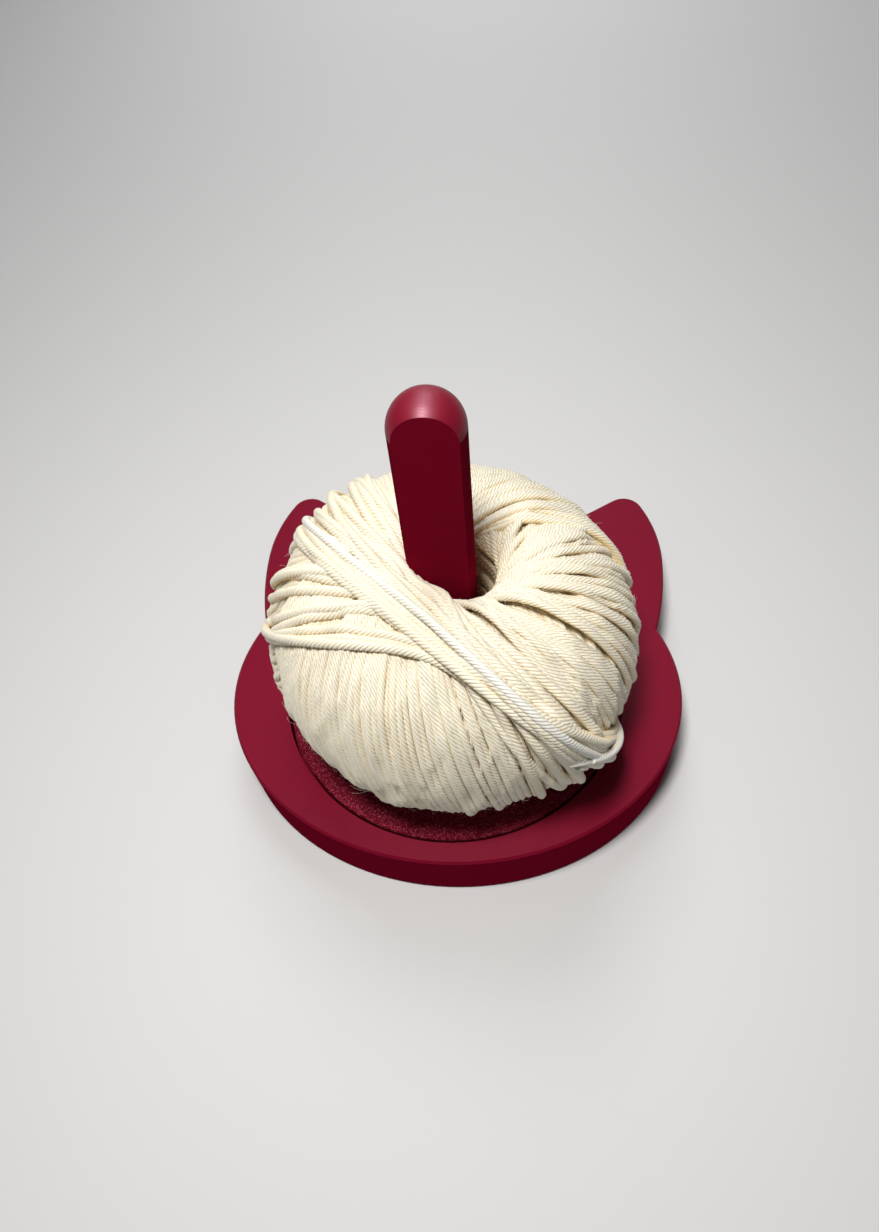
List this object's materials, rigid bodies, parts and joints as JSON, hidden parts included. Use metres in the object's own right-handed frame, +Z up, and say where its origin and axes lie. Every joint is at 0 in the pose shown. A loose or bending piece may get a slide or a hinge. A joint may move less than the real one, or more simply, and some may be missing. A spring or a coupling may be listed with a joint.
{
  "type": "rotating yarn holder",
  "caption": "Cat-head base plate with a ball-bearing turntable and a flat-sided post that carries a ball of yarn, which turns as the yarn is pulled off.",
  "frame": {"origin": "on the turntable's spin axis, at the surface that the feet stand on", "axes": "+Z up along the spin axis and the post, +Y towards the ears, +X to the right seen from the front"},
  "size_m": [0.1008, 0.0976, 0.0982],
  "materials": {
    "red_print": "wine-red printed plastic with fine line texture",
    "red_textured_print": "wine-red printed plastic with the grain of a textured print bed",
    "bearing_steel": "ground bearing steel",
    "ball_steel": "polished bearing balls",
    "shield_steel": "pressed sheet steel",
    "cage_nylon": "moulded nylon",
    "foot_rubber": "matt black rubber",
    "cream_yarn": "plied cotton-blend yarn with a soft sheen and light fuzz"
  },
  "bodies": {
    "base": {"base_plate": "red_print", "bearing_outer_ring": "bearing_steel", "bearing_lower_shield": "shield_steel", "bearing_upper_shield": "shield_steel", "foot_centre": "foot_rubber", "foot_front_left": "foot_rubber", "foot_front_right": "foot_rubber", "foot_ear_left": "foot_rubber", "foot_ear_right": "foot_rubber"},
    "spindle": {"turntable": "red_textured_print", "yarn_post": "red_print", "bearing_inner_ring": "bearing_steel"},
    "ball_set": {"bearing_cage": "cage_nylon", "bearing_ball_1": "ball_steel", "bearing_ball_2": "ball_steel", "bearing_ball_3": "ball_steel", "bearing_ball_4": "ball_steel", "bearing_ball_5": "ball_steel", "bearing_ball_6": "ball_steel", "bearing_ball_7": "ball_steel"},
    "yarn": {"yarn_ball": "cream_yarn"}
  },
  "joints": [
    {"name": "turntable_spin", "type": "hinge", "parent": "base", "child": "spindle", "pos_m": [0, 0, 0], "axis": [0, 0, 1], "continuous": true},
    {"name": "ball_set_spin", "type": "hinge", "parent": "base", "child": "ball_set", "pos_m": [0, 0, 0], "axis": [0, 0, 1], "continuous": true},
    {"name": "yarn_ball_lift", "type": "slide", "parent": "spindle", "child": "yarn", "axis": [0, 0, 1], "range_m": [0, 0.09]}
  ],
  "couplings": [
    {"joint": "ball_set_spin", "follows": "turntable_spin", "ratio": 0.3677}
  ]
}
